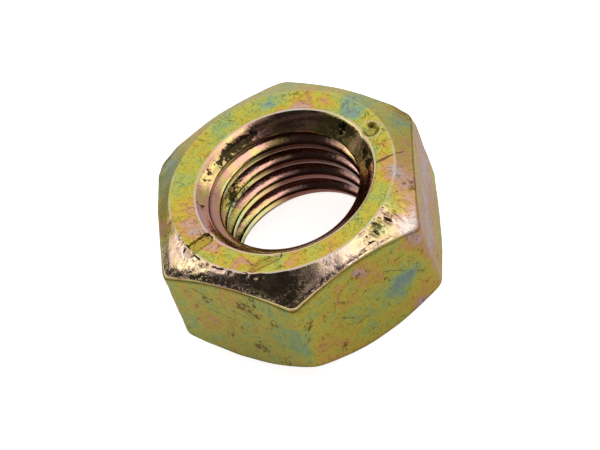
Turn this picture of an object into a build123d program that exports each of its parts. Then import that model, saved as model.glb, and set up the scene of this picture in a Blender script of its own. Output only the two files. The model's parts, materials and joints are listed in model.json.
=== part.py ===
from build123d import *
from build123d.topology import SkipClean
import os
from math import ceil, cos, floor, isclose, radians, tan

# A hexagon nut with a coarse thread, cold formed from one piece of steel and tapped.
# It stands on its lower bearing face, which lies at z = 0. The thread's axis is the
# Z axis, and one pair of flats faces along X.
# Lengths are in millimetres and angles in degrees.

# The outside
side_count = 6
across_flats = 19.0
height = 10.0
corner_radius = 0.85
# How far each bearing face's edge lies inside the flats, and how steeply the chamfer
# beyond it falls away
upper_face_margin = 1.08
lower_face_margin = 1.19
upper_chamfer_angle = 31.5
lower_chamfer_angle = 39.0
face_edge_radius = 0.3

# The thread: its size over the roots, its pitch and the angle between its flanks
thread_diameter = 12.0
thread_pitch = 1.75
thread_angle = 60.0
# The hole is bored this much wider than the basic minor diameter, before tapping
hole_allowance = 0.3
# Height of the groove's middle over the lower face, on the +X side of the hole
groove_height = 1.12

# The countersink at each end of the hole: how far its rim stands outside the thread,
# and the angle of its cone. The lower one is wider and deeper.
upper_countersink_margin = 0.65
lower_countersink_margin = 1.25
upper_countersink_angle = 100.0
lower_countersink_angle = 86.0
countersink_edge_radius = 0.3

# The thread's basic profile is a sharp triangle, an eighth of which is cut off at the
# groove's root and a quarter at the crest that faces the axis
flank_slope = tan(radians(thread_angle / 2))
sharp_depth = thread_pitch / 2 / flank_slope
basic_depth = sharp_depth * (1 - 1 / 8 - 1 / 4)
root_flat = thread_pitch / 8
root_radius = thread_diameter / 2
hole_radius = root_radius - basic_depth + hole_allowance / 2

# The countersinks' rims and depths
upper_rim_radius = root_radius + upper_countersink_margin
lower_rim_radius = root_radius + lower_countersink_margin
upper_sink_depth = (upper_rim_radius - hole_radius) / tan(radians(upper_countersink_angle / 2))
lower_sink_depth = (lower_rim_radius - hole_radius) / tan(radians(lower_countersink_angle / 2))

# The hexagon's flats and rounded corners
half_side_angle = 180 / side_count
flat_distance = across_flats / 2
corner_distance = (flat_distance - corner_radius) / cos(radians(half_side_angle)) + corner_radius

# The bearing faces, and the chamfers that cut the corners back. The turned outline
# runs on past the corners, so that the flats alone end it.
upper_face_radius = flat_distance - upper_face_margin
lower_face_radius = flat_distance - lower_face_margin
outline_reach = corner_distance + corner_radius
upper_chamfer_fall = (outline_reach - upper_face_radius) * tan(radians(upper_chamfer_angle))
lower_chamfer_rise = (outline_reach - lower_face_radius) * tan(radians(lower_chamfer_angle))

# Two sizes nearer than this are the same one
same_size = 1e-6


def hexagon_bar():
    """The hexagonal bar, its upright corners rounded and one pair of flats facing along X."""
    outline = RegularPolygon(flat_distance, side_count, major_radius=False, rotation=half_side_angle)
    outline = fillet(outline.vertices(), corner_radius)
    return extrude(outline, height)


def turned_form():
    """The round form that chamfers the bar at both ends, with softened face edges."""
    outline = Polyline(
        (0, 0),
        (lower_face_radius, 0),
        (outline_reach, lower_chamfer_rise),
        (outline_reach, height - upper_chamfer_fall),
        (upper_face_radius, height),
        (0, height),
        close=True,
    )
    section = make_face(outline)
    face_edges = [
        corner
        for corner in section.vertices()
        if isclose(corner.X, lower_face_radius, abs_tol=same_size)
        or isclose(corner.X, upper_face_radius, abs_tol=same_size)
    ]
    section = fillet(face_edges, face_edge_radius)
    return revolve(Plane.XZ * section, Axis.Z)


def hole_quarter():
    """A quarter of the space of the bored hole, with the countersink at each end."""
    outline = Polyline(
        (0, 0),
        (lower_rim_radius, 0),
        (hole_radius, lower_sink_depth),
        (hole_radius, height - upper_sink_depth),
        (upper_rim_radius, height),
        (0, height),
        close=True,
    )
    return revolve(Plane.XZ * make_face(outline), Axis.Z, 90)


def groove_turn():
    """The space of one turn of the thread's groove: its section wound up a helix.

    The section reaches a little way into the hole, so that the groove opens cleanly.
    """
    inner_radius = hole_radius - root_flat
    inner_half = root_flat / 2 + (root_radius - inner_radius) * flank_slope
    outline = Polyline(
        (inner_radius, -inner_half),
        (root_radius, -root_flat / 2),
        (root_radius, root_flat / 2),
        (inner_radius, inner_half),
        close=True,
    )
    one_turn = Helix(thread_pitch, thread_pitch, inner_radius)
    return sweep(Plane.XZ * make_face(outline), one_turn, is_frenet=True)


def groove():
    """The turns of the groove, from below the lower face until past the upper one."""
    turn = groove_turn()
    first = floor(-groove_height / thread_pitch) - 1
    last = ceil((height - groove_height) / thread_pitch) + 1
    return [Pos(0, 0, groove_height + thread_pitch * count) * turn for count in range(first, last)]


def nut():
    """The finished nut: chamfered, bored, countersunk and tapped.

    The hole is cut in quarters and the groove turn by turn, and their faces are left
    unmerged, so that each face of the thread is short. A face of the thread's crest
    spans a quarter of a turn.
    """
    blank = hexagon_bar() & turned_form()
    quarters = [Rot(0, 0, 90 * quarter) * hole_quarter() for quarter in range(4)]
    with SkipClean():
        bored = blank.cut(*quarters)
        rims = [
            edge
            for edge in bored.edges().filter_by(GeomType.CIRCLE)
            if isclose(edge.radius, lower_rim_radius, abs_tol=same_size)
            or isclose(edge.radius, upper_rim_radius, abs_tol=same_size)
        ]
        softened = fillet(rims, countersink_edge_radius)
        return softened.cut(*groove())


os.makedirs("parts", exist_ok=True)
export_step(nut(), "parts/nut.step")
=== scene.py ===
"""A threaded hexagon nut, cold formed from steel, tapped and plated in yellow zinc.

The nut stands on its lower face at the origin. Its thread's axis is the Z axis and one
pair of flats faces along X. Sizes in the classes are in millimetres and degrees, and
what is handed to Blender is in metres and radians.
"""

import json
import logging
from collections.abc import Callable, Iterator, Sequence
from dataclasses import dataclass, field
from enum import Enum
from math import ceil, cos, radians, sin, tan

import bpy
import numpy as np
from mathutils import Matrix, Vector


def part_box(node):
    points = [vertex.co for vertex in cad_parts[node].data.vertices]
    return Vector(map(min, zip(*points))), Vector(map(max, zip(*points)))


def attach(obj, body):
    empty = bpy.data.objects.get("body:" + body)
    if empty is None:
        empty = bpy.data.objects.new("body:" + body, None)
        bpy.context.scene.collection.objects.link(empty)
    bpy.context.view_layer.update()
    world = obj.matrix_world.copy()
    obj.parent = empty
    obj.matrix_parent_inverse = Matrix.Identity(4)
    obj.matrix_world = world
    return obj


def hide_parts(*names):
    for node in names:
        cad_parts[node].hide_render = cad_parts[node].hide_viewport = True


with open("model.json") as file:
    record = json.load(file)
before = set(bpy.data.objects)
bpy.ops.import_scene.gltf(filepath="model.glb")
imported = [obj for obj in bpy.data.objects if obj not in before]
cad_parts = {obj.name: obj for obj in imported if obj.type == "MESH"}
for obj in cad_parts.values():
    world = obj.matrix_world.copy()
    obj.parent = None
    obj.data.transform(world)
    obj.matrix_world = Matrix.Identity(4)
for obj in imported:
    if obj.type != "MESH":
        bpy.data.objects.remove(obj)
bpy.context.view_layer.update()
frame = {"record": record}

LOG = logging.getLogger("threaded_nut")
BODY = "root"
NODE = "nut"
MM = 0.001
WHITE = (1.0, 1.0, 1.0, 1.0)
TURN = radians(360)

# What the mesh tells the finish about each point, from 0 to 1: how bright forming or
# cutting left it, how far it is worn, how much painted shade it gets deep in the groove,
# under a crest or at the edge of a flat, and whether it is on a crest. Then how far it is struck in or
# raised.
FORM_MARKS = ("polish", "worn", "root", "crest")
STRIKE_MARKS = ("sunk", "lip")

Pair = tuple[float, float]
Triple = tuple[float, float, float]
Colour = tuple[float, float, float, float]
Operand = "Signal | float | Triple"


def polar(angle: float, radius: float, height: float) -> Triple:
    """Gives the place at an angle round the axis in degrees, a distance from it and a height."""
    turn = radians(angle)
    return (radius * cos(turn), radius * sin(turn), height)


def ripples(points: np.ndarray, dice: np.random.Generator, count: int, lengths: Pair) -> np.ndarray:
    """Sums plane waves that run in random directions.

    Args:
        points: The places, in millimetres.
        dice: The source of the waves' directions, lengths and starts.
        count: How many waves there are.
        lengths: The shortest and the longest wave, in millimetres.

    Returns:
        The sum at each place.
    """
    total = np.zeros(len(points))
    for _ in range(count):
        way = dice.normal(size=3)
        way *= TURN / np.linalg.norm(way) / dice.uniform(*lengths)
        total += np.sin(points @ way + dice.uniform(0, TURN))
    return total


def each(kind: type, *rows: tuple) -> tuple:
    """Makes a thing of one kind from each row of values."""
    return tuple(kind(*row) for row in rows)


def placed(name: str, data: bpy.types.ID) -> bpy.types.Object:
    """Makes an object and puts it into the scene.

    Args:
        name: The object's name.
        data: Its mesh or camera.

    Returns:
        The object.
    """
    made = bpy.data.objects.new(name, data)
    bpy.context.scene.collection.objects.link(made)
    return made


@dataclass(frozen=True)
class Pattern:
    """A smooth noise pattern: how fine it is, how many finer layers it has and how strong they are."""

    scale: float
    detail: float = 2.0
    rough: float = 0.5


@dataclass(frozen=True)
class Drift:
    """How places wander before a pattern is read there: how finely, and how far in millimetres."""

    scale: float
    amount: float


def operator(operation: str, reflected: bool = False) -> Callable[["Signal", "Operand"], "Signal"]:
    """Makes an operator's method, which adds the node that works the operation out.

    Args:
        operation: The operation's name in a Math or Vector Math node.
        reflected: Whether the signal is the second operand.

    Returns:
        The method.
    """

    def method(signal: "Signal", other: Operand) -> "Signal":
        """Gives the operation's result."""
        return signal.tree.apply(operation, *((other, signal) if reflected else (signal, other)))

    return method


@dataclass(frozen=True)
class Signal:
    """An output in a node tree, used in expressions like a plain number or vector."""

    tree: "Tree"
    socket: bpy.types.NodeSocket

    __add__, __radd__ = operator("ADD"), operator("ADD", reflected=True)
    __sub__, __rsub__ = operator("SUBTRACT"), operator("SUBTRACT", reflected=True)
    __mul__, __rmul__ = operator("MULTIPLY"), operator("MULTIPLY", reflected=True)
    __truediv__, __rtruediv__ = operator("DIVIDE"), operator("DIVIDE", reflected=True)


@dataclass(frozen=True)
class Tree:
    """A node tree, of a material, a world or a geometry group, that expressions fill."""

    nodes: bpy.types.NodeTree

    def __post_init__(self) -> None:
        """Empties the tree."""
        self.nodes.nodes.clear()

    def node(self, kind: str, inputs: dict | None = None, **settings: object) -> bpy.types.Node:
        """Adds one node.

        Args:
            kind: The node's type, such as ShaderNodeTexNoise.
            inputs: Values or signals for its sockets, by name or number.
            settings: Properties of the node, set before its sockets.

        Returns:
            The node.
        """
        made = self.nodes.nodes.new(kind)
        for name, value in settings.items():
            setattr(made, name, value)
        for name, value in (inputs or {}).items():
            if isinstance(value, Signal):
                self.nodes.links.new(value.socket, made.inputs[name])
            else:
                made.inputs[name].default_value = value
        return made

    def get(
        self, kind: str, inputs: dict | None = None, output: str | int = 0, **settings: object
    ) -> Signal:
        """Adds one node as node() does, and gives the signal of one of its outputs."""
        return Signal(self, self.node(kind, inputs, **settings).outputs[output])

    def apply(self, operation: str, *operands: Operand) -> Signal:
        """Works out one operation, on vectors where an operand is a vector or a colour.

        Args:
            operation: The operation's name in a Math or Vector Math node.
            operands: Signals or plain values.

        Returns:
            The result.
        """
        on_vectors = any(
            isinstance(operand, tuple)
            or (isinstance(operand, Signal) and operand.socket.type in ("VECTOR", "RGBA"))
            for operand in operands
        )
        inputs = {
            index: (operand,) * 3 if on_vectors and isinstance(operand, (int, float)) else operand
            for index, operand in enumerate(operands)
        }
        kind = "ShaderNodeVectorMath" if on_vectors else "ShaderNodeMath"
        output = "Value" if operation in ("LENGTH", "DOT_PRODUCT") else 0
        return self.get(kind, inputs, output, operation=operation)

    def joined(self, x: Operand, y: Operand, z: Operand) -> Signal:
        """Gives the vector of three numbers."""
        return self.get("ShaderNodeCombineXYZ", {0: x, 1: y, 2: z})

    def parted(self, vector: Signal) -> Iterator[Signal]:
        """Gives the three numbers of a vector."""
        return (Signal(self, part) for part in self.node("ShaderNodeSeparateXYZ", {0: vector}).outputs)

    def within(self, value: Signal, low: Operand = 0.0, high: Operand = 1.0) -> Signal:
        """Gives the value, held between two limits."""
        return self.apply("MINIMUM", self.apply("MAXIMUM", value, low), high)

    def ramp(self, value: Signal, start: Operand, end: Operand, top: float = 1.0) -> Signal:
        """Gives 0 at start and the top at end, with a smooth rise or fall between them."""
        inputs = {"Value": value, "From Min": start, "From Max": end, "To Max": top}
        return self.get("ShaderNodeMapRange", inputs, interpolation_type="SMOOTHSTEP")

    def off_axis(self, place: Signal) -> Signal:
        """Gives how far a place is from the Z axis."""
        x, y, _ = self.parted(place)
        return self.apply("SQRT", x * x + y * y)

    def noise(self, place: Signal, pattern: Pattern) -> Signal:
        """Gives a pattern's value at a place, from 0 to 1 and mostly near a half."""
        inputs = {"Scale": pattern.scale, "Detail": pattern.detail, "Roughness": pattern.rough}
        return self.get("ShaderNodeTexNoise", {"Vector": place, **inputs})

    def drift(self, place: Signal, drift: Drift) -> Signal:
        """Gives the place, moved about by smooth noise."""
        colour = self.get("ShaderNodeTexNoise", {"Vector": place, "Scale": drift.scale}, "Color")
        return place + (colour - 0.5) * (drift.amount * 2)

    def contour(self, value: Signal, level: float, width: float, core: float = 0.0) -> Signal:
        """Gives 1 where the value is within the core of the level, and 0 from the width off."""
        return self.ramp(self.apply("ABSOLUTE", value - level), width, core)

    def stretch(self, place: Signal, scratch: "Scratch") -> Signal:
        """Draws a scratch: its strength on its line, and 0 from its width off.

        Args:
            place: The place to look at, in millimetres.
            scratch: The scratch.

        Returns:
            How strongly it shows there.
        """
        run = Vector(scratch.end) - Vector(scratch.start)
        from_start = place - scratch.start
        share = self.within(self.apply("DOT_PRODUCT", from_start, tuple(run / run.length_squared)))
        along = self.get("ShaderNodeVectorMath", {0: tuple(run), "Scale": share}, operation="SCALE")
        off = self.apply("LENGTH", from_start - along)
        return self.ramp(off, scratch.width, 0.0, scratch.strength)

    def colours(self, value: Signal, stops: Sequence[tuple[float, Triple]]) -> Signal:
        """Turns a number into a colour.

        Args:
            value: The number, from 0 to 1.
            stops: Places on that scale, each with its colour.

        Returns:
            The colour.
        """
        made = self.node("ShaderNodeValToRGB", {"Fac": value})
        marks = made.color_ramp.elements
        while len(marks) < len(stops):
            marks.new(1.0)
        for mark, (place, colour) in zip(marks, stops):
            mark.position = place
            mark.color = (*colour, 1.0)
        return Signal(self, made.outputs["Color"])

    def tint(self, factor: Operand, first: Operand, second: Operand) -> Signal:
        """Mixes two colours.

        Args:
            factor: How much of the second colour shows, from 0 to 1.
            first: A colour of four numbers, or a signal.
            second: A colour of four numbers, or a signal.

        Returns:
            The mixed colour.
        """
        inputs = {0: factor, 6: first, 7: second}
        return self.get("ShaderNodeMix", inputs, 2, data_type="RGBA")

    def summed(self, start: Operand, *parts: tuple[Signal, float]) -> Signal:
        """Gives the start plus each signal times its share."""
        return sum((part * share for part, share in parts), start)


def new_material(name: str) -> tuple[bpy.types.Material, Tree]:
    """Makes a material.

    Args:
        name: The material's name.

    Returns:
        The material and its empty tree.
    """
    material = bpy.data.materials.new(name)
    material.use_nodes = True
    return material, Tree(material.node_tree)


class Surface(Enum):
    """The kinds of surface on the nut, with how brightly forming or cutting left each one."""

    FACE = 0.0
    FLAT = 0.05
    CHAMFER = 1.0
    COUNTERSINK = 0.98
    THREAD = 0.9


@dataclass(frozen=True)
class Dent:
    """A small round dent, or a bump where its depth is below 0.

    Its place is an angle round the axis, a distance from it and a height over the
    lower face. The lip is the low wall of metal that a punch raises round it.
    """

    angle: float
    radius: float
    height: float
    size: float
    depth: float
    lip: float = 0.0

    def fall(self, points: np.ndarray) -> np.ndarray:
        """Gives how far each point sinks.

        Args:
            points: The points, in millimetres.

        Returns:
            The depth at each point, in millimetres.
        """
        lip_place, lip_width = 1.0, 0.1
        centre = np.array(polar(self.angle, self.radius, self.height))
        distance = np.linalg.norm(points - centre, axis=1) / self.size
        bowl = np.clip(1 - distance**2, 0, 1) ** 2
        wall = np.exp(-(((distance - lip_place) / lip_width) ** 2))
        return self.depth * bowl - self.lip * wall


@dataclass(frozen=True)
class Scuff:
    """A patch of torn and crinkled skin, between two angles and two distances from the axis."""

    angles: Pair
    radii: Pair
    depth: float
    wave_count: int = 14
    wave_lengths: Pair = (0.45, 1.3)

    def fall(self, points: np.ndarray, dice: np.random.Generator) -> np.ndarray:
        """Gives how far each point sinks, into winding tears.

        Args:
            points: The points, in millimetres.
            dice: The source of the tears' directions.

        Returns:
            The depth at each point, in millimetres.
        """
        angle_softness, radius_softness = 5.0, 0.25
        reach_down, tear_share = 1.5, 0.45
        angle = np.degrees(np.arctan2(points[:, 1], points[:, 0]))
        radius = np.hypot(points[:, 0], points[:, 1])
        mask = points[:, 2] > points[:, 2].max() - reach_down
        for value, (low, high), soft in (
            (angle, self.angles, angle_softness),
            (radius, self.radii, radius_softness),
        ):
            mask = mask * np.clip((value - low) / soft, 0, 1) * np.clip((high - value) / soft, 0, 1)
        total = ripples(points, dice, self.wave_count, self.wave_lengths)
        tears = np.clip(1 - np.abs(total) / (tear_share * np.sqrt(self.wave_count)), 0, 1)
        return self.depth * mask * tears


@dataclass(frozen=True)
class Groove:
    """A straight mark struck or scratched into the upper face.

    Each end is an angle round the axis and a distance from it.
    """

    start: Pair
    end: Pair
    width: float
    depth: float

    def fall(self, points: np.ndarray, height: float) -> np.ndarray:
        """Gives how far each point sinks.

        Args:
            points: The points, in millimetres.
            height: The height of the face that the mark is in.

        Returns:
            The depth at each point, in millimetres.
        """
        first = np.array(polar(*self.start, height))
        run = np.array(polar(*self.end, height)) - first
        share = np.clip((points - first) @ run / (run @ run), 0, 1)
        distance = np.linalg.norm(points - first - share[:, None] * run, axis=1)
        edge_share = 0.45
        wall = np.clip((self.width / 2 - distance) / (self.width * edge_share) + 1, 0, 1)
        return self.depth * wall * wall * (3 - 2 * wall)


@dataclass(frozen=True)
class Wear:
    """What forming, striking and handling did to the nut's surface."""

    marks: tuple[Groove, ...] = each(
        Groove,
        ((-147.0, 6.95), (-147.0, 8.35), 0.62, 0.26),
        ((-108.5, 7.85), (-95.5, 6.75), 0.42, 0.14),
    )
    dents: tuple[Dent, ...] = each(
        Dent,
        (27.0, 7.4, 10.0, 0.78, 0.4, 0.04),
        (27.0, 7.4, 9.75, 0.42, -0.36),
        (-64.2, 7.5, 10.0, 0.2, 0.08),
        (-119.4, 7.55, 10.0, 0.22, 0.08),
        (30.0, 10.6, 8.75, 1.6, 0.18),
        (150.0, 10.6, 8.75, 1.6, 0.18),
        (75.0, 8.5, 9.9, 0.35, 0.06),
        (-171.0, 8.5, 9.9, 0.4, 0.07),
    )
    scuffs: tuple[Scuff, ...] = each(
        Scuff,
        ((-54.0, -26.0), (8.15, 9.3), 0.26),
        ((-38.0, -18.0), (8.7, 9.9), 0.07),
        ((-174.0, -100.0), (8.15, 8.7), 0.09),
        ((-160.0, -126.0), (8.4, 9.7), 0.03),
    )
    lip_height: float = 0.03
    sunk_depth: float = 0.12
    wave_count: int = 24
    wave_depth: float = 0.03
    wave_lengths: Pair = (1.4, 4.0)
    seed: int = 7

    def strike(self, mesh: bpy.types.Mesh, height: float, bore: float) -> None:
        """Sinks the marks, dents and the shallow waves of a cold-formed skin into a mesh.

        Args:
            mesh: The nut's mesh, in metres.
            height: The height of the upper face, in millimetres.
            bore: The distance from the axis within which the thread stays as it is cut.
        """
        places, normals = (np.empty(len(mesh.vertices) * 3) for _ in range(2))
        mesh.vertices.foreach_get("co", places)
        mesh.vertices.foreach_get("normal", normals)
        points = places.reshape(-1, 3) / MM
        sink = sum(mark.fall(points, height) for mark in self.marks)
        dice = np.random.default_rng(self.seed)
        sink = sink + sum(scuff.fall(points, dice) for scuff in self.scuffs)
        sink = sink + sum(dent.fall(points) for dent in self.dents)
        for name, value in zip(STRIKE_MARKS, (sink / self.sunk_depth, -sink / self.lip_height)):
            stored = mesh.attributes.new(name, "FLOAT", "POINT")
            stored.data.foreach_set("value", np.clip(value, 0, 1))
        outside = np.clip(np.hypot(points[:, 0], points[:, 1]) - bore, 0, 1)
        spread = 2 * np.sqrt(self.wave_count / 2)
        total = ripples(points, dice, self.wave_count, self.wave_lengths)
        waves = self.wave_depth * np.clip(total / spread + 0.5, 0, 1)
        sink = np.maximum(sink + waves * outside, 0)
        points = points - normals.reshape(-1, 3) * sink[:, None]
        mesh.vertices.foreach_set("co", (points * MM).ravel())
        mesh.update()


@dataclass
class NutForm:
    """The nut's body: a chamfered hexagon with a countersunk and tapped hole.

    The box and the hole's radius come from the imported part. A chamfer's angle is the one
    it makes with the face, and those of the flanks and the countersinks are half of what
    they open to. The offsets are the small run-out that forming and tapping leave. The
    eases are how far from an edge its rounding begins, and the mouth is how far below a
    face the hole's own rows of the mesh begin.
    """

    across_flats: float
    height: float
    hole_radius: float
    corner_radius: float = 0.85
    upper_face_radius: float = 8.42
    lower_face_radius: float = 8.31
    upper_chamfer_angle: float = 31.5
    lower_chamfer_angle: float = 39.0
    root_radius: float = 6.0
    pitch: float = 1.75
    flank_angle: float = 30.0
    groove_height: float = 1.12
    crest_rounding: float = 0.3
    upper_sink_radius: float = 6.66
    lower_sink_radius: float = 7.25
    upper_sink_angle: float = 50.0
    lower_sink_angle: float = 43.0
    sink_rounding: float = 0.2
    mouth_depth: float = 0.4
    upper_offset: Pair = (-0.10, 0.19)
    lower_offset: Pair = (0.12, -0.06)
    hole_offset: Pair = (0.12, 0.11)
    rim_ease: float = 0.1
    face_ease: float = 0.1
    flat_ease: float = 0.06
    side_count: int = 6
    columns: int = 432
    rows_per_turn: int = 24

    def form_inputs(self) -> dict[str, float | Triple]:
        """Gives the geometry group's named inputs: the lengths and offsets, and angles as slopes.

        Returns:
            The inputs' values, by name.
        """
        inputs: dict[str, float | Triple] = {}
        for name, value in vars(self).items():
            title = name.replace("_", " ").title()
            if name.endswith("angle"):
                inputs[title.replace("Angle", "Slope")] = tan(radians(value))
            elif name.endswith("offset"):
                inputs[title] = (*value, 0.0)
            elif isinstance(value, float):
                inputs[title] = value
        return inputs

    def build(self, name: str, material: bpy.types.Material) -> bpy.types.Object:
        """Makes the nut as one plain mesh.

        Args:
            name: The object's name.
            material: The finish on it.

        Returns:
            The finished object, at the origin.
        """
        group = bpy.data.node_groups.new("nut_form", "GeometryNodeTree")
        inputs = NutTree(self, Tree(group)).fill(self.form_inputs(), material)
        host = placed(name + "_host", bpy.data.meshes.new(name + "_host"))
        modifier = host.modifiers.new("form", "NODES")
        modifier.node_group = group
        for socket, value in inputs:
            modifier[socket.identifier] = value
        graph = bpy.context.evaluated_depsgraph_get()
        mesh = bpy.data.meshes.new_from_object(host.evaluated_get(graph), depsgraph=graph)
        mesh.name = name
        host.modifiers.remove(modifier)
        bpy.data.objects.remove(host)
        return placed(name, mesh)


@dataclass
class NutTree:
    """The geometry group that shapes the nut from its named sizes."""

    form: NutForm
    tree: Tree
    size: dict[str, Signal] = field(default_factory=dict)
    strips: list[Signal] = field(default_factory=list)

    def fill(self, sizes: dict[str, float | Triple], material: bpy.types.Material) -> list[tuple]:
        """Builds the whole group.

        Args:
            sizes: The group's named inputs, with their values.
            material: The finish on the nut.

        Returns:
            Each input's interface socket, with the value to give it.
        """
        tree = self.tree
        interface = tree.nodes.interface
        interface.new_socket(name="Geometry", in_out="OUTPUT", socket_type="NodeSocketGeometry")
        values = []
        for name, value in sizes.items():
            kind = "NodeSocketVector" if isinstance(value, tuple) else "NodeSocketFloat"
            values.append((interface.new_socket(name=name, in_out="INPUT", socket_type=kind), value))
        entry = tree.node("NodeGroupInput")
        for name in sizes:
            self.size[name] = Signal(tree, entry.outputs[name])
        self.outside()
        self.inside()
        self.close(material)
        return values

    def __post_init__(self) -> None:
        """Works out each grid point's share of the turn and of the strip, and its direction."""
        tree = self.tree
        place = tree.get("GeometryNodeInputPosition")
        across, along, _ = tree.parted(place)
        even = (across + 0.5) * TURN
        crowding = 0.05
        corner = TURN / self.form.side_count / 2
        wave = tree.apply("SINE", (even - corner) * self.form.side_count)
        self.angle = even - wave * crowding
        self.share = along + 0.5
        self.away = tree.joined(tree.apply("COSINE", self.angle), tree.apply("SINE", self.angle), 0.0)

    def hexagon_reach(self) -> Signal:
        """Gives the distance from the axis to the hexagon, whose corners are rounded.

        Returns:
            The distance, in millimetres.
        """
        tree, size = self.tree, self.size
        half_side = TURN / self.form.side_count / 2
        apothem = size["Across Flats"] / 2.0
        corner_radius = size["Corner Radius"]
        from_flat = tree.apply("WRAP", self.angle, half_side, -half_side)
        flat = apothem / tree.apply("COSINE", from_flat)
        from_corner = half_side - tree.apply("ABSOLUTE", from_flat)
        centre = (apothem - corner_radius) / cos(half_side)
        sideways = centre * tree.apply("SINE", from_corner)
        depth = tree.apply("MAXIMUM", corner_radius * corner_radius - sideways * sideways, 0.0)
        arc = centre * tree.apply("COSINE", from_corner) + tree.apply("SQRT", depth)
        tangent = tree.apply("ARCTANGENT", centre * sin(half_side) / apothem)
        on_arc = tree.apply("GREATER_THAN", tree.apply("ABSOLUTE", from_flat), tangent)
        return flat + (arc - flat) * on_arc

    def circle(self, offset: Signal, radius: Operand, height: Operand) -> Signal:
        """Gives the point of a circle about an offset axis, in this point's direction."""
        return self.away * radius + offset + self.tree.joined(0.0, 0.0, height)

    def chamfer(self, end: str, bar: Signal) -> Signal:
        """Gives how far the upper or lower chamfer has cut the bar back at this point."""
        off = self.tree.apply("LENGTH", bar - self.size[end + " Offset"])
        return (off - self.size[end + " Face Radius"]) * self.size[end + " Chamfer Slope"]

    def sink(self, end: str, depth: Operand) -> Signal:
        """Gives the radius of the upper or lower countersink, at a depth under its face."""
        return self.size[end + " Sink Radius"] - self.size[end + " Sink Slope"] * depth

    def sink_depth(self, end: str) -> Signal:
        """Gives the depth at which the upper or lower countersink meets the bored hole."""
        across = self.size[end + " Sink Radius"] - self.size["Hole Radius"]
        return across / self.size[end + " Sink Slope"]

    def outside(self) -> None:
        """Makes the strips of the outside, from the upper countersink down to the lower one."""
        tree, size = self.tree, self.size
        bar = self.away * self.hexagon_reach()
        top, mouth = size["Height"], size["Mouth Depth"]
        upper, lower, hole = size["Upper Offset"], size["Lower Offset"], size["Hole Offset"]
        rim, face, flat = size["Rim Ease"], size["Face Ease"], size["Flat Ease"]
        corners = [
            (self.circle(hole, self.sink("Upper", mouth), top - mouth), 0.0),
            (self.circle(hole, size["Upper Sink Radius"], top), rim),
            (self.circle(upper, size["Upper Face Radius"], top), face),
            (bar + tree.joined(0.0, 0.0, top - self.chamfer("Upper", bar)), flat),
            (bar + tree.joined(0.0, 0.0, self.chamfer("Lower", bar)), flat),
            (self.circle(lower, size["Lower Face Radius"], 0.0), face),
            (self.circle(hole, size["Lower Sink Radius"], 0.0), rim),
            (self.circle(hole, self.sink("Lower", mouth), mouth), 0.0),
        ]
        legs = [
            (Surface.COUNTERSINK, 3),
            (Surface.FACE, 22),
            (Surface.CHAMFER, 12),
            (Surface.FLAT, 26),
            (Surface.CHAMFER, 8),
            (Surface.FACE, 7),
            (Surface.COUNTERSINK, 3),
        ]
        for index, (surface, rows) in enumerate(legs):
            (first, first_ease), (last, last_ease) = corners[index : index + 2]
            way = tree.apply("NORMALIZE", last - first)
            start = first + way * first_ease
            end = last - way * last_ease
            following = legs[index + 1][0] if index + 1 < len(legs) else None
            self.leg(start, end, rows, surface, following is Surface.FLAT)
            if following:
                beyond = tree.apply("NORMALIZE", corners[index + 2][0] - last)
                self.bend(end, last, last + beyond * last_ease, (surface, following))

    def leg(
        self, start: Signal, end: Signal, rows: int, surface: Surface, flat_follows: bool
    ) -> None:
        """Adds the strip of one surface, between the roundings of its edges.

        Args:
            start: Its edge on the side of the upper countersink.
            end: Its other edge.
            rows: How many rows of faces it has.
            surface: What kind of surface it is.
            flat_follows: Whether the flats lie beyond its end.
        """
        tree, share = self.tree, self.share
        edge_share, face_wear, chamfer_shade = 0.1, 1.2, 0.65
        polish, worn, shade = surface.value, 0.0, 0.0
        if surface is Surface.FACE:
            edges = tree.ramp(share, edge_share, 0.0) + tree.ramp(share, 1.0 - edge_share, 1.0)
            worn = edges * face_wear
        # The chamfer's edge at the flats gets painted shade, kept in the root mark.
        if surface is Surface.CHAMFER:
            at_flat = share if flat_follows else 1.0 - share
            polish = tree.ramp(at_flat, 1.0, 1.0 - edge_share) * surface.value
            shade = tree.ramp(at_flat, 1.0 - edge_share, 1.0) * chamfer_shade
        self.strip(start + (end - start) * share, rows, polish=polish, worn=worn, root=shade)

    def bend(self, start: Signal, corner: Signal, end: Signal, beside: tuple[Surface, Surface]) -> None:
        """Adds the strip that rounds the edge between two surfaces.

        Args:
            start: Where the rounding begins.
            corner: The sharp edge.
            end: Where the rounding ends.
            beside: The surfaces on both sides of it.
        """
        share, back = self.share, 1.0 - self.share
        rows, flat_shade, edge_wear, middle_wear = 3, 0.7, 1.0, 1.4
        place = start * (back * back) + corner * (share * back * 2.0) + end * (share * share)
        # A rounding beside the flats gets painted shade, kept in the root mark; the others are worn.
        if Surface.FLAT in beside:
            self.strip(place, rows, polish=Surface.FLAT.value, root=flat_shade)
        else:
            polish = max(surface.value for surface in beside)
            self.strip(place, rows, polish=polish, worn=share * back * middle_wear + edge_wear)

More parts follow.
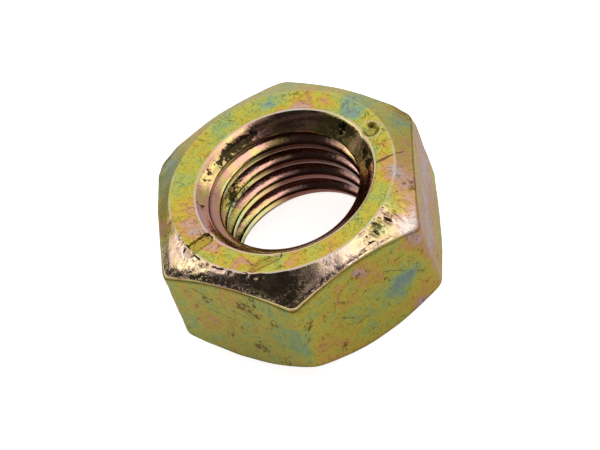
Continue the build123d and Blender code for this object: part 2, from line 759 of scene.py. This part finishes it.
    def inside(self) -> None:
        """Makes the tapped hole's wall, in rows that climb with the thread."""
        tree, size, form = self.tree, self.size, self.form
        pitch, hole, root = size["Pitch"], size["Hole Radius"], size["Root Radius"]
        turns_below = ceil(form.groove_height / form.pitch) + 1
        turns_above = ceil((form.height - form.groove_height) / form.pitch)
        rows = (turns_below + turns_above) * form.rows_per_turn
        row = tree.apply("ROUND", self.share * rows) - turns_below * form.rows_per_turn
        half_turn = form.rows_per_turn / 2
        within_turn = tree.apply("WRAP", row, half_turn, -half_turn)
        turn = tree.apply("ROUND", (row - within_turn) / form.rows_per_turn)
        root_rows, flank_rows = 2, 6
        crest_from = root_rows + flank_rows
        root_parts = 8.0
        root_half = pitch / root_parts / 2.0
        flank_rise = (root - hole) * size["Flank Slope"]
        crest_half = pitch / 2.0 - root_half - flank_rise
        away = tree.apply("ABSOLUTE", within_turn)
        offset = (
            tree.within(away / root_rows) * root_half
            + tree.within((away - root_rows) / flank_rows) * flank_rise
            + tree.within((away - crest_from) / (half_turn - crest_from)) * crest_half
        )
        climb = size["Groove Height"] + pitch * (turn + self.angle / TURN)
        height = climb + offset * tree.apply("SIGN", within_turn)
        low, high = size["Mouth Depth"], size["Height"] - size["Mouth Depth"]
        height = tree.within(height, low, high)
        snap = form.pitch / form.rows_per_turn / 2
        for crease in (self.sink_depth("Lower"), size["Height"] - self.sink_depth("Upper")):
            gap = crease - height
            near = tree.apply("LESS_THAN", tree.apply("ABSOLUTE", gap), snap)
            on_crest = tree.apply("GREATER_THAN", away, crest_from - 0.5)
            height = height + gap * near * on_crest
        phase = (height - size["Groove Height"]) / pitch - self.angle / TURN
        overhang = tree.apply("WRAP", phase, 0.5, -0.5)
        flank = root - (tree.apply("ABSOLUTE", overhang) * pitch - root_half) / size["Flank Slope"]
        thread = tree.apply("SMOOTH_MAX", flank, hole, size["Crest Rounding"])
        thread = tree.apply("MINIMUM", thread, root)
        from_top = size["Height"] - height
        sinks = tree.apply("MAXIMUM", self.sink("Upper", from_top), self.sink("Lower", height))
        wall = tree.apply("SMOOTH_MAX", thread, sinks, size["Sink Rounding"])
        # Shares of the groove's depth, and of the pitch above the groove's middle
        deep, shallow = (0.6, 0.95), (0.3, 0.05)
        under_from, under_until = (0.0, 0.05), (0.47, 0.3)
        depth = (thread - hole) / (root - hole)
        under = tree.ramp(overhang, *under_from) * tree.ramp(overhang, *under_until)
        cut = tree.apply("GREATER_THAN", thread, sinks)
        # The root mark is painted shade, deep in the groove and under each crest; the crest mark also
        # carries painted shade on the far crests.
        self.strip(
            self.circle(size["Hole Offset"], wall, height),
            rows,
            polish=Surface.THREAD.value,
            root=tree.apply("MAXIMUM", tree.ramp(depth, *deep), under) * cut,
            crest=tree.ramp(depth, *shallow) * cut,
        )

    def strip(self, place: Signal, rows: int, **given: Operand) -> None:
        """Adds one strip of the surface, all the way round.

        Args:
            place: Where each of its points goes, in millimetres.
            rows: How many rows of faces it has.
            given: Its marks by name. The others are 0.
        """
        tree = self.tree
        counts = {"Vertices X": self.form.columns + 1, "Vertices Y": rows + 1}
        mesh = tree.get("GeometryNodeMeshGrid", {"Size X": 1.0, "Size Y": 1.0, **counts})
        for name in FORM_MARKS:
            inputs = {"Geometry": mesh, "Name": name, "Value": given.get(name, 0.0)}
            mesh = tree.get("GeometryNodeStoreNamedAttribute", inputs, data_type="FLOAT", domain="POINT")
        self.strips.append(tree.get("GeometryNodeSetPosition", {"Geometry": mesh, "Position": place}))

    def close(self, material: bpy.types.Material) -> None:
        """Joins the strips into one closed skin, scales it to metres and gives it its finish.

        Args:
            material: The finish on the nut.
        """
        tree = self.tree
        join = tree.node("GeometryNodeJoinGeometry")
        for strip in reversed(self.strips):
            tree.nodes.links.new(strip.socket, join.inputs[0])
        same_place = 0.002
        place = tree.get("GeometryNodeInputPosition")
        steps = {
            "GeometryNodeMergeByDistance": {"Distance": same_place},
            "GeometryNodeFlipFaces": {},
            "GeometryNodeSetPosition": {"Position": place * MM},
            "GeometryNodeSetShadeSmooth": {},
            "GeometryNodeRealizeInstances": {},
            "GeometryNodeSetMaterial": {"Material": material},
        }
        skin = Signal(tree, join.outputs[0])
        for kind, inputs in steps.items():
            skin = tree.get(kind, {0: skin, **inputs})
        tree.node("NodeGroupOutput", {"Geometry": skin})


@dataclass(frozen=True)
class Spot:
    """A round place on the nut where the finish differs.

    Its middle is an angle round the axis, a distance from it and a height over the
    lower face. The change is how far the finish moves there.
    """

    angle: float
    radius: float
    height: float
    size: float
    change: float


# Where the film is thicker, or thinner where the change is below 0
FILM_SPOTS = each(
    Spot,
    (-164, 7.2, 10, 1.5, 0.34),
    (-177, 7.3, 10, 1.8, 0.2),
    (160, 7.2, 10, 1.8, -0.05),
    (126, 7.4, 10, 1.6, -0.25),
    (96.5, 7.9, 10, 1.5, -0.45),
    (77, 7.4, 10, 1.3, 0.42),
    (66, 7.5, 10, 1.2, 0.3),
    (57, 7.4, 10, 1.0, 0.1),
    (46.5, 7.8, 10, 1.8, -0.36),
    (16, 7.6, 10, 1.5, 0.14),
    (-7, 8.0, 10, 1.6, 0.3),
    (-30, 7.4, 10, 1.8, 0.06),
    (-66, 7.6, 10, 1.6, 0.2),
    (-84, 7.4, 10, 1.8, 0.2),
    (-111, 7.6, 10, 2.0, 0.26),
    (-138, 6.9, 10, 1.5, 0.32),
    (-154, 6.9, 10, 1.4, 0.3),
    (150, 9.6, 9.3, 2.4, -0.45),
    (117, 9.0, 9.6, 2.4, -0.15),
    (50, 9.0, 9.6, 2.6, -0.25),
    (25, 9.5, 9.2, 2.0, -0.5),
    (8, 9.2, 9.5, 1.8, 0.1),
    (-12, 9.1, 9.5, 2.0, 0.3),
    (-26, 9.6, 9.2, 2.0, 0.4),
    (-142, 9.9, 7.8, 1.7, 0.22),
    (-121, 9.6, 8.5, 2.0, 0.12),
    (-97, 10.1, 5.9, 1.9, -0.2),
    (-92, 10.6, 3.9, 2.4, -0.32),
    (-136, 9.7, 4.7, 2.0, 0.16),
    (-85, 10.5, 3.9, 1.5, 0.24),
    (-61, 9.5, 8.1, 0.9, 0.35),
    (-64, 9.5, 2.6, 2.0, -0.16),
    (-44, 9.8, 4.6, 2.3, -0.6),
    (-35, 10.4, 5.3, 2.4, -0.28),
    (-40, 10.1, 1.4, 1.9, 0.55),
    (-57, 9.5, 7.4, 1.9, 0.16),
    (-32, 10.4, 8.2, 1.5, 0.3),
    (-22, 10.3, 5.6, 5.2, 0.55),
    (0, 9.6, 5.6, 5.2, 0.42),
    (22, 10.3, 5.6, 5.2, 0.5),
    (-172, 9.4, 9.4, 1.8, 0.25),
    (-38, 8.8, 9.7, 1.4, -0.3),
    (-24, 8.9, 9.7, 1.4, -0.27),
    (180, 6.2, 9.5, 0.6, -0.4),
    (-168, 6.3, 9.5, 1.0, 0.45),
    (165, 6.2, 9.5, 0.9, -0.1),
    (-142, 6.3, 9.6, 1.1, -0.35),
    (45, 5.3, 8.3, 1.6, -0.25),
    (10, 6.2, 9.5, 1.6, -0.4),
    (150, 5.2, 2.6, 3.4, -0.3),
    (165, 5.4, 5.4, 2.2, -0.25),
    (110, 5.4, 7.6, 2.6, -0.15),
)
# Where the film is stained brown, and where black painted shade lies in the hole
STAINS = each(
    Spot,
    (-114, 9.6, 7.6, 1.3, 1.0),
    (-109, 9.7, 6.9, 1.0, 0.9),
    (-100.8, 10.06, 6.3, 0.9, 0.9),
    (-113, 9.57, 2.9, 1.4, 1.0),
    (-104, 9.8, 2.0, 1.1, 0.8),
    (-119, 9.5, 4.6, 0.9, 0.8),
    (-127, 9.6, 3.6, 0.9, 0.7),
    (-87.5, 10.7, 6.4, 1.0, 0.9),
    (-77, 9.9, 2.35, 0.6, 1.2),
    (-61, 9.5, 8.1, 0.9, 0.7),
    (-107, 9.8, 8.5, 1.2, 0.7),
    (-93, 10.4, 8.4, 1.2, 0.7),
    (-133, 9.76, 7.3, 0.9, 0.8),
    (-138, 9.9, 6.2, 0.7, 0.7),
    (-70, 9.8, 6.4, 0.7, 0.7),
    (-50, 9.6, 5.8, 0.7, 0.6),
    (-66, 9.6, 4.0, 0.7, 0.6),
    (-40, 8.75, 9.75, 1.0, 0.9),
    (-33, 8.9, 9.6, 0.7, 0.8),
    (20, 6.9, 10, 0.6, 0.5),
    (-100, 9.8, 0.8, 1.8, 0.6),
    (-40, 10.0, 0.7, 2.2, 0.5),
    (-20, 9.9, 2.5, 1.6, 0.5),
    (170, 9.6, 8.0, 1.5, 0.6),
    (-158, 9.8, 8.2, 1.3, 0.8),
    (153, 6.35, 9.55, 0.6, 1.2),
    (144, 6.05, 9.4, 0.75, 1.3),
    (136, 6.05, 9.4, 0.8, 1.6),
    (128, 6.05, 9.4, 0.8, 1.7),
    (120, 6.08, 9.42, 0.8, 1.6),
    (112, 6.1, 9.45, 0.75, 1.4),
    (-176, 6.3, 9.6, 0.8, 0.9),
    (-152, 6.2, 9.6, 0.7, 0.8),
    (160, 6.1, 9.5, 0.7, 0.8),
    (5, 6.2, 9.55, 0.9, 1.8),
    (16, 6.2, 9.55, 0.8, 1.6),
    (32, 6.1, 9.5, 0.6, 0.9),
    (45, 6.2, 9.55, 0.9, 1.3),
    (-8, 6.3, 9.6, 0.9, 1.0),
    (-13, 9.3, 9.4, 1.0, 0.9),
    (148, 5.6, 6.8, 2.4, 1.0),
    (-126.4, 9.05, 9.55, 0.7, 1.1),
    (-122, 8.55, 9.85, 0.6, 1.0),
    (-144, 9.98, 9.03, 0.6, 0.9),
)
# Where the rubbed surface has stayed dull
DULL_SPOTS = each(
    Spot,
    (152, 5.4, 6.1, 2.8, 0.75),
    (-40, 8.75, 9.75, 1.4, 0.6),
    (-29, 9.1, 9.5, 0.8, 0.5),
    (-24, 8.9, 9.7, 1.5, 0.65),
)


@dataclass(frozen=True)
class Scratch:
    """A fine straight line in the film, between two places in millimetres."""

    start: Triple
    end: Triple
    width: float
    strength: float = 1.0


@dataclass(frozen=True)
class YellowZinc:
    """Bright zinc with a thin yellow film, whose colour turns with the film's thickness.

    Edges are pairs of distances, heights or levels between which a thing comes up from
    nothing to all of it. Covers are how strongly one colour lies over those below it.
    """

    name: str = "yellow_zinc"
    film_colours: tuple[tuple[float, Triple], ...] = (
        (0.0, (0.25, 0.34, 0.28)),
        (0.125, (0.29, 0.42, 0.22)),
        (0.25, (0.38, 0.46, 0.14)),
        (0.375, (0.49, 0.49, 0.09)),
        (0.5, (0.58, 0.47, 0.06)),
        (0.6, (0.62, 0.39, 0.07)),
        (0.71, (0.62, 0.33, 0.17)),
        (0.85, (0.59, 0.4, 0.34)),
        (1.0, (0.575, 0.53, 0.48)),
    )
    film: float = 0.5
    film_top: float = 1.2
    film_spots: tuple[Spot, ...] = FILM_SPOTS
    stains: tuple[Spot, ...] = STAINS
    dull_spots: tuple[Spot, ...] = DULL_SPOTS
    scratches: tuple[Scratch, ...] = each(
        Scratch,
        ((6.95, 0.12, 10.0), (7.8, 0.45, 10.0), 0.16, 2.0),
        ((7.8, 0.45, 10.0), (8.4, 0.66, 10.0), 0.11, 2.0),
        ((8.4, 0.66, 10.0), (9.1, 1.05, 9.62), 0.13, 2.0),
        ((-6.9, -6.9, 6.2), (-4.9, -8.1, 5.6), 0.09),
        ((-7.4, -6.7, 8.3), (-6.2, -7.4, 7.3), 0.13),
        ((-5.2, -7.9, 6.9), (-3.6, -8.9, 6.0), 0.09),
        ((1.6, -9.9, 6.2), (3.4, -9.0, 4.4), 0.09),
        ((6.3, -7.3, 6.8), (7.6, -6.6, 5.6), 0.08),
        ((-3.0, -6.4, 10.0), (-2.2, -7.6, 10.0), 0.08),
    )
    grain: Pattern = Pattern(3.2, 4.0, 0.6)
    specks: Pattern = Pattern(7.0)
    mottles: Pattern = Pattern(3.2, 4.0, 0.7)
    haze: Pattern = Pattern(1.3, 4.0, 0.7)
    crinkles: Pattern = Pattern(1.8, 5.0, 0.62)
    broad_film: Pattern = Pattern(0.28)
    close_film: Pattern = Pattern(1.1, 3.0)
    ragged: Pattern = Pattern(2.6, 5.0, 0.75)
    line_patches: Pattern = Pattern(0.9)
    curls: Pattern = Pattern(1.3, 3.0)
    hairs: Pattern = Pattern(2.6, 1.0)
    rubbing: Pattern = Pattern(0.7, 4.0, 0.65)
    film_drift: Drift = Drift(0.55, 0.9)
    stain_drift: Drift = Drift(1.4, 0.35)
    line_drift: Drift = Drift(1.1, 0.5)
    scratch_drift: Drift = Drift(2.0, 0.12)
    crinkle_drift: Drift = Drift(1.6, 0.4)
    face_edge: Pair = (7.2, 7.6)
    hole_edge: Pair = (6.8, 6.6)
    bore_edge: Pair = (6.7, 6.5)
    thread_edge: Pair = (6.4, 6.1)
    thread_top: Pair = (9.0, 8.5)
    bright_side: float = -95.0
    bright_edge: Pair = (0.3, 0.46)
    crinkle: float = 0.018
    flat_distance: float = 9.5
    round_from: float = 0.9
    rounding: float = 0.2
    sink_middle: Triple = (0.12, 0.11, 0.0)
    sink_level: float = 6.42
    sink_end: float = 6.05
    sink_edge: Pair = (7.2, 7.1)
    sink_floor: float = 8.9
    sink_rounding: float = 0.25
    polish_cover: float = 0.25
    red_cover: float = 0.6
    line_cover: float = 0.8
    speck_cover: float = 0.8
    hole_painted_shade_cover: float = 0.12
    painted_shade_cover: float = 0.85
    far_crest_painted_shade_cover: float = 0.96
    struck_painted_shade_cover: float = 0.4
    edge_colour: Colour = (0.58, 0.53, 0.43, 1.0)
    stain_colour: Colour = (0.19, 0.09, 0.025, 1.0)
    hole_painted_shade_colour: Colour = (0.014, 0.009, 0.005, 1.0)
    line_colour: Colour = (0.15, 0.09, 0.035, 1.0)
    painted_shade_colour: Colour = (0.085, 0.028, 0.02, 1.0)
    polished_colour: Colour = (0.95, 0.76, 0.62, 1.0)
    bore_colour: Colour = (0.74, 0.33, 0.28, 1.0)

    def build(self) -> bpy.types.Material:
        """Makes the material.

        Returns:
            The material.
        """
        material, tree = new_material(self.name)
        fields = ZincTree(self, tree)
        inputs = {
            "Metallic": 1.0,
            "Base Color": fields.colour(),
            "Roughness": fields.roughness(),
            "Normal": fields.normal(),
        }
        shader = tree.get("ShaderNodeBsdfPrincipled", inputs)
        tree.node("ShaderNodeOutputMaterial", {"Surface": shader})
        return material


class ZincTree:
    """The material's tree, with what it knows about each point of the nut."""

    def __init__(self, zinc: YellowZinc, tree: Tree) -> None:
        """Works out where a point lies, how the mesh marks it and how its finish varies.

        Args:
            zinc: The finish's values.
            tree: The empty tree of the material.
        """
        self.zinc = zinc
        self.tree = tree
        self.place = tree.get("ShaderNodeTexCoord", output="Object") * (1 / MM)
        self.x, self.y, self.height = tree.parted(self.place)
        self.off_axis = tree.off_axis(self.place)
        self.cut, self.worn, self.root, self.crest, self.sunk, self.lip = (
            tree.get("ShaderNodeAttribute", output="Fac", attribute_name=name)
            for name in FORM_MARKS + STRIKE_MARKS
        )
        self.grain = tree.noise(self.place, zinc.grain)
        self.specks = tree.noise(self.place, zinc.specks)
        self.outside = tree.ramp(self.off_axis, *zinc.face_edge)
        self.polish = self.polish_field()
        self.film = self.film_field()
        self.stain = self.stain_field()
        self.lines = self.line_field() * (1.0 - self.polish)

    def spot(self, place: Signal, spot: Spot) -> Signal:
        """Gives a spot's change at a place: all of it in its middle, and none past its size."""
        off = self.tree.apply("LENGTH", place - polar(spot.angle, spot.radius, spot.height))
        return self.tree.ramp(off, spot.size, 0.0, spot.change)

    def spotted(self, value: Operand, place: Signal, spots: Sequence[Spot]) -> Signal:
        """Gives a value plus the change of each spot at a place."""
        return sum((self.spot(place, spot) for spot in spots), value)

    def polish_field(self) -> Signal:
        """Gives how bright the surface is: the chamfers are rubbed bright on one side only.

        Returns:
            The brightness, from 0 to 1.
        """
        tree, zinc = self.tree, self.zinc
        uneven, mottled_levels, mottled_share = 0.3, (0.52, 0.62), 0.12
        dulled_outside, dulled_most = 0.8, 0.8
        turn = radians(zinc.bright_side)
        facing = (self.x * cos(turn) + self.y * sin(turn)) / self.off_axis
        rubbed = tree.ramp(facing + (self.grain - 0.5) * uneven, *zinc.bright_edge)
        mottled = tree.ramp(tree.noise(self.place, zinc.mottles), *mottled_levels) * mottled_share
        dulled = self.spotted(self.outside * mottled, self.place, zinc.dull_spots)
        kept = 1.0 - self.outside * (1.0 - rubbed) * dulled_outside
        return self.cut * kept * (1.0 - tree.within(dulled, 0.0, dulled_most))

    def film_field(self) -> Signal:
        """Gives the film's thickness, on the scale of the film's colours.

        Returns:
            The thickness, from 0 to 1.
        """
        tree, zinc = self.tree, self.zinc
        drifted = tree.drift(self.place, zinc.film_drift)
        in_bore = tree.ramp(self.off_axis, *zinc.thread_edge) * tree.ramp(self.height, *zinc.thread_top)
        thin_side = (1.0, -3.0)
        thin_crest = self.crest * tree.ramp(self.x, *thin_side)
        # Each part of the thickness is given with its share
        film = tree.summed(
            zinc.film,
            (self.polish, 0.3),
            (in_bore, 0.12),
            (thin_crest, -0.28),
            (self.grain - 0.5, 0.4),
            (tree.noise(self.place, zinc.broad_film) - 0.5, 0.7),
            (tree.noise(drifted, zinc.close_film) - 0.5, 0.75),
        )
        return tree.within(self.spotted(film, drifted, zinc.film_spots) / zinc.film_top)

    def stain_field(self) -> Signal:
        """Gives how dark the brown stains, and in the hole the black painted shade, are, from 0 to 1.

        Returns:
            The darkness.
        """
        tree, zinc = self.tree, self.zinc
        drifted = tree.drift(self.place, zinc.stain_drift)
        total = self.spotted(0.0, drifted, zinc.stains)
        ragged = tree.noise(drifted, zinc.ragged) + self.grain - 1.0
        spot_share, ragged_share, levels, fullness, most = 0.5, 1.5, (0.3, 0.5), 3.0, 0.8
        blotches = tree.ramp(total * spot_share + ragged * ragged_share, *levels)
        return blotches * tree.within(total * fullness) * most

    def line_field(self) -> Signal:
        """Gives the fine curled lines and the scratches in the film.

        Returns:
            How strongly a line shows, from 0 to 1.2.
        """
        tree, zinc = self.tree, self.zinc
        drifted = tree.drift(self.place, zinc.line_drift)
        patch_levels, hair_share, most = (0.45, 0.6), 0.6, 1.2
        curl_level, curl_width, hair_level, hair_width = 0.5, 0.02, 0.42, 0.03
        patches = tree.ramp(tree.noise(self.place, zinc.line_patches), *patch_levels)
        curls = tree.contour(tree.noise(drifted, zinc.curls), curl_level, curl_width)
        hairs = tree.contour(tree.noise(drifted, zinc.hairs), hair_level, hair_width)
        wander = tree.drift(self.place, zinc.scratch_drift)
        scratches = sum((tree.stretch(wander, scratch) for scratch in zinc.scratches), 0.0)
        lines = curls * patches + hairs * (1.0 - patches) * hair_share + scratches
        return tree.within(lines, 0.0, most)

    def bare_field(self) -> Signal:
        """Gives how far the film is rubbed off the edges, less on the chamfer at the back.

        Returns:
            How bare the surface is, from 0 to 0.6.
        """
        tree = self.tree
        back, chamfer, kept_most = (1.5, 6.0), (7.4, 8.0), 0.42
        levels, bare_most = (0.46, 0.66), 0.6
        kept = tree.ramp(self.y, *back) * tree.ramp(self.off_axis, *chamfer) * kept_most
        rubbed = tree.noise(self.place, self.zinc.rubbing)
        return tree.ramp(self.worn * rubbed * (1.0 - kept), *levels) * bare_most

    def colour(self) -> Signal:
        """Gives the colour: the film's, under the colours of rubbed, stained and bare places, of painted
        shade and of painted highlight on the lips of marks.

        Returns:
            The colour.
        """
        tree, zinc = self.tree, self.zinc
        red_levels, speck_levels, far_side = (0.55, 0.75), (0.62, 0.72), (-3.4, -1.2)
        reddish = tree.ramp(self.off_axis, *zinc.bore_edge) * tree.ramp(self.film, *red_levels)
        in_hole = tree.ramp(self.off_axis, *zinc.hole_edge)
        # In the hole the stains are black painted shade.
        hole_painted_shade = in_hole * (self.grain * zinc.hole_painted_shade_cover + zinc.hole_painted_shade_cover) + 1.0
        dark = tree.tint(in_hole, zinc.stain_colour, zinc.hole_painted_shade_colour)
        specks = tree.ramp(self.specks, *speck_levels) * (1.0 - self.polish)
        # The raised lips of struck marks are pale: bare metal and painted highlight.
        bare_and_lip_highlight = tree.apply("MAXIMUM", self.bare_field(), self.lip * self.grain)
        # Painted shade on the crests away from the left side.
        painted_shade_far_crest = self.crest * tree.ramp(self.x, *far_side) * zinc.far_crest_painted_shade_cover
        layers = (
            (self.polish * (self.outside * zinc.polish_cover + zinc.polish_cover), zinc.polished_colour),
            (reddish * zinc.red_cover, zinc.bore_colour),
            (self.lines * zinc.line_cover, zinc.line_colour),
            (specks * zinc.speck_cover, zinc.stain_colour),
            (self.stain * hole_painted_shade, dark),
            (bare_and_lip_highlight, zinc.edge_colour),
            # Painted shade in the grooves, under the crests, at the flats' edges and on the crests away
            # from the left
            (tree.apply("MAXIMUM", self.root * zinc.painted_shade_cover, painted_shade_far_crest), zinc.painted_shade_colour),
            # Painted shade in struck marks, darker the deeper a point is struck in.
            (self.sunk * zinc.struck_painted_shade_cover, zinc.stain_colour),
        )
        colour = tree.colours(self.film, zinc.film_colours)
        for cover, tone in layers:
            colour = tree.tint(cover, colour, tone)
        return colour

    def roughness(self) -> Signal:
        """Gives the roughness: low where rubbed bright, higher where hazed or soiled.

        Returns:
            The roughness.
        """
        tree, polish = self.tree, self.polish
        start, limits, haze_levels, matt = 0.36, (0.08, 0.7), (0.5, 0.62), 1.2
        haze = tree.ramp(tree.noise(self.place, self.zinc.haze), *haze_levels) * polish
        # Each part of the roughness is given with its share
        rough = tree.summed(
            start,
            (polish, -0.28),
            (haze, 0.12),
            ((self.grain - 0.5) * (matt - polish), 0.18),
            (self.stain, 0.15),
            (self.root, 0.15),
            (self.sunk, -0.12),
        )
        return tree.within(rough, *limits)

    def normal(self) -> Signal:
        """Gives the normal, tilted by the fine relief of the film and of the rubbed surface.

        Returns:
            The normal.
        """
        tree = self.tree
        matt, film_height = 1.1, 0.06
        # Each part of the film's relief is given with its share
        film = tree.summed(
            self.grain * 0.5, (self.specks, 0.25), (self.lines, -0.25), (self.stain, -0.3)
        )
        relief = film * (matt - self.polish) * film_height + self.rubbed_relief() * (1.0 - self.root)
        return tree.get("ShaderNodeBump", {"Height": relief, "Distance": MM, "Strength": 1.0})

    def rubbed_relief(self) -> Signal:
        """Gives the height of the bright surface: crinkled, and rounded on chamfer and countersink.

        Returns:
            The height, in millimetres.
        """
        tree, zinc = self.tree, self.zinc
        reach: Operand = 0.0
        for turn in (0.0, TURN / 6, TURN / 3):
            aside = tree.apply("ABSOLUTE", self.x * cos(turn) + self.y * sin(turn))
            reach = tree.apply("MAXIMUM", reach, aside)
        outward = tree.apply("MAXIMUM", zinc.round_from - (zinc.flat_distance - reach), 0.0)
        off_hole = tree.off_axis(self.place - zinc.sink_middle)
        from_level = tree.apply("MAXIMUM", off_hole, zinc.sink_end) - zinc.sink_level
        above = tree.apply("GREATER_THAN", self.height, zinc.sink_floor)
        in_sink = tree.ramp(off_hole, *zinc.sink_edge) * above
        crinkle = tree.noise(tree.drift(self.place, zinc.crinkle_drift), zinc.crinkles)
        chamfer = outward * outward * zinc.rounding * (1.0 - in_sink)
        sink = from_level * from_level * zinc.sink_rounding * in_sink
        return (crinkle * zinc.crinkle - chamfer - sink) * self.polish


@dataclass(frozen=True)
class LightCard:
    """A lit or dark card of the studio, seen from the nut as a soft-edged oblong.

    The angles are where its middle lies, and how far it reaches each way from there.
    """

    azimuth: float
    elevation: float
    half_width: float
    half_height: float
    softness: float
    strength: float

    def mask(self, tree: Tree, azimuth: Signal, elevation: Signal) -> Signal:
        """Gives 1 in the directions that the card covers, and 0 past its soft edge.

        Args:
            tree: The world's tree.
            azimuth: The direction's angle round the nut, in radians.
            elevation: The direction's angle over the floor, in radians.

        Returns:
            The mask.
        """
        aside = tree.apply("WRAP", azimuth - radians(self.azimuth), TURN / 2, -TURN / 2)
        above = elevation - radians(self.elevation)
        across, up = (
            tree.contour(angle, 0.0, radians(reach + self.softness), radians(reach - self.softness))
            for angle, reach in ((aside, self.half_width), (above, self.half_height))
        )
        return up * across


@dataclass
class Studio:
    """A pale floor under a soft studio dome with a few light and dark cards."""

    dome: float = 1.0
    cards: tuple[LightCard, ...] = each(
        LightCard,
        (52, 16, 28, 14, 5, 0.5),
        (5, 20, 22, 16, 5, 1.7),
        (142, 6, 24, 16, 5, 0.05),
        (105, 50, 24, 12, 8, 1.15),
        (168, 39, 12, 7, 2, 2.1),
        (156, 25, 7, 6, 3, 1.2),
        (-178, 12, 15, 20, 3, 0.03),
        (-102, 31, 80, 13, 3, 0.03),
        (-104, 12, 62, 12, 5, 0.05),
        (-113, 51, 69, 8, 3, 0.02),
        (-132, 68, 48, 13, 5, 0.02),
        (-70, 68, 20, 13, 4, 0.25),
        (-176, 48, 8, 4, 3, 0.9),
        (-38, 41, 11, 7, 3, 0.03),
        (-38, 54, 14, 6, 3, 1.9),
        (-14, 47, 10, 5, 3, 1.7),
        (48, 36, 14, 6, 4, 0.45),
        (18, 42, 13, 6, 3, 0.9),
        (2, 56, 26, 7, 3, 1.5),
        (-15, 67, 38, 10, 8, 1.7),
    )
    floor_size: float = 4000.0
    floor_albedo: float = 0.68
    camera_glow: float = 0.88
    mirror_glow: float = 0.2
    hole_glow: float = 1.1
    hole_middle: Triple = (0.4, 3.2, 0.0)
    hole_reach: float = 3.6

    def build(self) -> None:
        """Makes the floor and the world."""
        self.build_world()
        self.build_floor()

    def build_world(self) -> None:
        """Makes the dome, white to the camera and with its cards to everything else."""
        world = bpy.data.worlds.new("studio")
        world.use_nodes = True
        bpy.context.scene.world = world
        tree = Tree(world.node_tree)
        x, y, z = tree.parted(tree.get("ShaderNodeTexCoord", output="Generated"))
        azimuth, elevation = tree.apply("ARCTAN2", y, x), tree.apply("ARCSINE", z)
        light: Operand = self.dome
        for card in self.cards:
            light = light + (card.strength - light) * card.mask(tree, azimuth, elevation)
        seen = tree.get("ShaderNodeLightPath", output="Is Camera Ray")
        inputs = {"Color": WHITE, "Strength": light + (1.0 - light) * seen}
        tree.node("ShaderNodeOutputWorld", {"Surface": tree.get("ShaderNodeBackground", inputs)})

    def build_floor(self) -> None:
        """Makes the floor, which keeps the nut's shadow and is otherwise white; under the hole it has a
        painted pool of light that only reflections see.
        """
        half = self.floor_size / 2 * MM
        corners = [(-half, -half, 0), (half, -half, 0), (half, half, 0), (-half, half, 0)]
        mesh = bpy.data.meshes.new("floor")
        mesh.from_pydata(corners, [], [(0, 1, 2, 3)])
        material, tree = new_material("pale_floor")
        seen = tree.get("ShaderNodeLightPath", output="Is Camera Ray")
        mirrored = tree.get("ShaderNodeLightPath", output="Is Glossy Ray")
        place = tree.get("ShaderNodeTexCoord", output="Object") * (1 / MM)
        # Under the hole the floor glows for reflections only: a painted pool of light.
        off = tree.apply("LENGTH", place - self.hole_middle)
        painted_light_pool = tree.ramp(off, self.hole_reach, self.hole_reach / 2)
        glow = seen * self.camera_glow + mirrored * (painted_light_pool * self.hole_glow + self.mirror_glow)
        matt = tree.get("ShaderNodeBsdfDiffuse", {"Color": (*[self.floor_albedo] * 3, 1.0)})
        lit = tree.get("ShaderNodeEmission", {"Color": WHITE, "Strength": glow})
        both = tree.get("ShaderNodeAddShader", {0: matt, 1: lit})
        tree.node("ShaderNodeOutputMaterial", {"Surface": both})
        mesh.materials.append(material)
        floor = placed("floor", mesh)


@dataclass
class PhotoCamera:
    """A long lens that looks down on the nut, rolled to the side."""

    azimuth: float = 15.023
    elevation: float = 47.786
    roll: float = -22.512
    distance: float = 399.144
    focal_length: float = 331.06
    sensor_width: float = 36.0
    nearest: float = 10.0
    rightward: float = -0.059
    upward: float = 0.054

    def build(self, middle: Vector) -> bpy.types.Object:
        """Makes the camera.

        Args:
            middle: The point that it is set out from, in millimetres.

        Returns:
            The camera's object.
        """
        azimuth, elevation, roll = radians(self.azimuth), radians(self.elevation), radians(self.roll)
        back = Vector((sin(azimuth) * cos(elevation), -cos(azimuth) * cos(elevation), sin(elevation)))
        level = Vector((cos(azimuth), sin(azimuth), 0))
        upright = back.cross(level)
        right = level * cos(roll) + upright * sin(roll)
        up = upright * cos(roll) - level * sin(roll)
        data = bpy.data.cameras.new("camera")
        data.sensor_width = self.sensor_width
        data.lens = self.focal_length
        data.clip_start = self.nearest * MM
        camera = placed("camera", data)
        turn = Matrix((right, up, back)).transposed().to_4x4()
        place = middle + right * self.rightward + up * self.upward + back * self.distance
        camera.matrix_world = Matrix.Translation(place * MM) @ turn
        bpy.context.scene.camera = camera
        return camera


def main() -> None:
    """Builds the nut, its finish, the studio and the camera."""
    logging.basicConfig(level=logging.INFO, format="%(name)s: %(message)s")
    bpy.context.scene.view_settings.view_transform = "Standard"
    low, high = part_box(NODE)
    thread = next(m for m in frame["record"]["mounts"] if m["name"] == "thread")
    form = NutForm(
        across_flats=(high.x - low.x) / MM,
        height=(high.z - low.z) / MM,
        hole_radius=thread["dims"]["r_mm"],
    )
    zinc = YellowZinc().build()
    nut = form.build("threaded_nut", zinc)
    Wear().strike(nut.data, form.height, form.upper_sink_radius)
    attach(nut, BODY)
    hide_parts(NODE)
    LOG.info("nut: %d vertices, %d faces", len(nut.data.vertices), len(nut.data.polygons))
    Studio().build()
    LOG.info("studio: floor and dome")
    PhotoCamera().build(Vector((0, 0, form.height / 2)))
    LOG.info("camera: set")


if __name__ == "__main__":
    main()
